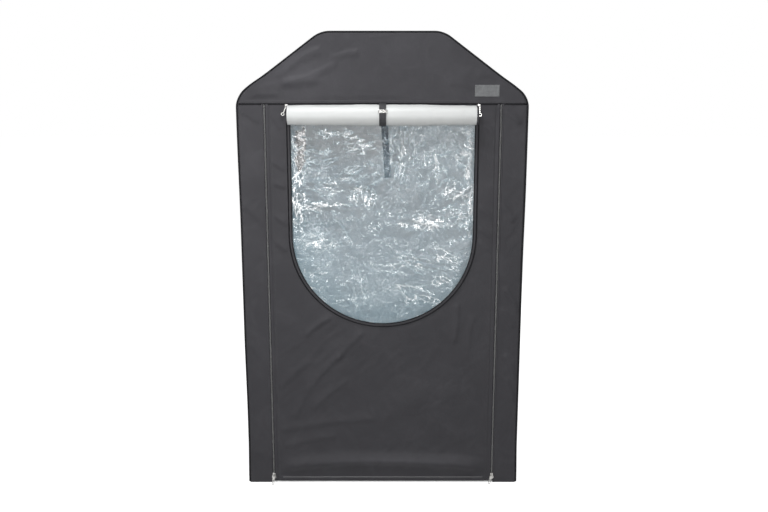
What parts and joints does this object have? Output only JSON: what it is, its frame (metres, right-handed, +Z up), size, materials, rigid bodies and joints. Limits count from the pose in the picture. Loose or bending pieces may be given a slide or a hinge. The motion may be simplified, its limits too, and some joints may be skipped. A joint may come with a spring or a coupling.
{
  "type": "grow tent",
  "caption": "Upright fabric grow tent with a sloped roof on a steel tube frame. A zipped front door has a clear U-shaped window whose cover is rolled up and strapped above it.",
  "frame": {"origin": "on the floor under the middle of the tent, on the underside of the floor sheet", "axes": "+X to the right of someone facing the door, +Y to the rear, +Z up; the door faces -Y"},
  "size_m": [1.2, 1.1249, 1.96],
  "materials": {
    "frame_steel": "white enamelled steel tube",
    "connector_plastic": "moulded plastic",
    "grey_cloth": "coated oxford cloth",
    "dark_trim": "woven tape and piping",
    "white_lining": "smooth white side of the lining",
    "clear_film": "clear soft film",
    "webbing": "ribbed webbing",
    "nickel": "nickel plated",
    "net": "fine net"
  },
  "bodies": {
    "tent": {"base_tube_front": "frame_steel", "base_tube_rear": "frame_steel", "base_tube_left": "frame_steel", "base_tube_right": "frame_steel", "upright_front_left": "frame_steel", "upright_front_right": "frame_steel", "upright_rear_left": "frame_steel", "upright_rear_right": "frame_steel", "eave_tube_left": "frame_steel", "eave_tube_right": "frame_steel", "rafter_front_left": "frame_steel", "rafter_front_right": "frame_steel", "rafter_rear_left": "frame_steel", "rafter_rear_right": "frame_steel", "top_tube_front": "frame_steel", "top_tube_rear": "frame_steel", "ridge_tube_left": "frame_steel", "ridge_tube_right": "frame_steel", "header_tube": "frame_steel", "base_corner_front_left": "connector_plastic", "base_corner_front_right": "connector_plastic", "base_corner_rear_left": "connector_plastic", "base_corner_rear_right": "connector_plastic", "shoulder_elbow_front_left": "connector_plastic", "shoulder_elbow_front_right": "connector_plastic", "shoulder_elbow_rear_left": "connector_plastic", "shoulder_elbow_rear_right": "connector_plastic", "roof_elbow_front_left": "connector_plastic", "roof_elbow_front_right": "connector_plastic", "roof_elbow_rear_left": "connector_plastic", "roof_elbow_rear_right": "connector_plastic", "floor_sheet": "white_lining", "rear_wall": "grey_cloth", "roof_cover": "grey_cloth", "front_gable": "grey_cloth", "side_wall_left": "grey_cloth", "side_wall_right": "grey_cloth", "front_strip_left": "grey_cloth", "front_strip_right": "grey_cloth", "front_piping": "dark_trim", "duct_sleeve": "grey_cloth", "vent_mesh": "net"},
    "door": {"door_panel": "grey_cloth", "window_film": "clear_film", "window_binding": "dark_trim", "window_cover_roll": "white_lining", "cover_strap": "webbing", "strap_ring": "nickel", "inner_strap": "webbing"},
    "door_slider_left_body": {"door_slider_left": "nickel"},
    "door_slider_right_body": {"door_slider_right": "nickel"},
    "door_pull_left_body": {"door_pull_left": "nickel"},
    "door_pull_right_body": {"door_pull_right": "nickel"},
    "cover_slider_left_body": {"cover_slider_left": "nickel"},
    "cover_slider_right_body": {"cover_slider_right": "nickel"},
    "cover_pull_left_body": {"cover_pull_left": "nickel"},
    "cover_pull_right_body": {"cover_pull_right": "nickel"},
    "lamp_bar_front_body": {"lamp_bar_front": "frame_steel"},
    "lamp_bar_rear_body": {"lamp_bar_rear": "frame_steel"},
    "vent_flap_body": {"vent_flap": "grey_cloth"}
  },
  "joints": [
    {"name": "door_lift", "type": "hinge", "parent": "tent", "child": "door", "pos_m": [0, -0.45, 1.676], "axis": [-1, 0, 0], "range_deg": [0, 85]},
    {"name": "door_zip_left", "type": "slide", "parent": "door", "child": "door_slider_left_body", "axis": [0, 0, 1], "range_m": [0, 1.61]},
    {"name": "door_pull_left_swing", "type": "hinge", "parent": "door_slider_left_body", "child": "door_pull_left_body", "pos_m": [-0.489, -0.45563, 0.0353], "axis": [-1, 0, 0], "range_deg": [0, 60]},
    {"name": "cover_zip_left", "type": "slide", "parent": "door", "child": "cover_slider_left_body", "axis": [0, 0, -1], "range_m": [0, 0.525]},
    {"name": "cover_pull_left_swing", "type": "hinge", "parent": "cover_slider_left_body", "child": "cover_pull_left_body", "pos_m": [-0.39725, -0.45863, 1.665], "axis": [-1, 0, 0], "range_deg": [0, 85]},
    {"name": "door_zip_right", "type": "slide", "parent": "door", "child": "door_slider_right_body", "axis": [0, 0, 1], "range_m": [0, 1.61]},
    {"name": "door_pull_right_swing", "type": "hinge", "parent": "door_slider_right_body", "child": "door_pull_right_body", "pos_m": [0.489, -0.45563, 0.0353], "axis": [-1, 0, 0], "range_deg": [0, 60]},
    {"name": "cover_zip_right", "type": "slide", "parent": "door", "child": "cover_slider_right_body", "axis": [0, 0, -1], "range_m": [0, 0.525]},
    {"name": "cover_pull_right_swing", "type": "hinge", "parent": "cover_slider_right_body", "child": "cover_pull_right_body", "pos_m": [0.39725, -0.45863, 1.665], "axis": [-1, 0, 0], "range_deg": [0, 85]},
    {"name": "lamp_bar_front_slide", "type": "slide", "parent": "tent", "child": "lamp_bar_front_body", "axis": [0, 1, 0], "range_m": [-0.16, 0.14]},
    {"name": "lamp_bar_rear_slide", "type": "slide", "parent": "tent", "child": "lamp_bar_rear_body", "axis": [0, 1, 0], "range_m": [-0.14, 0.16]},
    {"name": "vent_flap_lift", "type": "hinge", "parent": "tent", "child": "vent_flap_body", "pos_m": [0, 0.4526, 0.34], "axis": [1, 0, 0], "range_deg": [0, 120]}
  ]
}
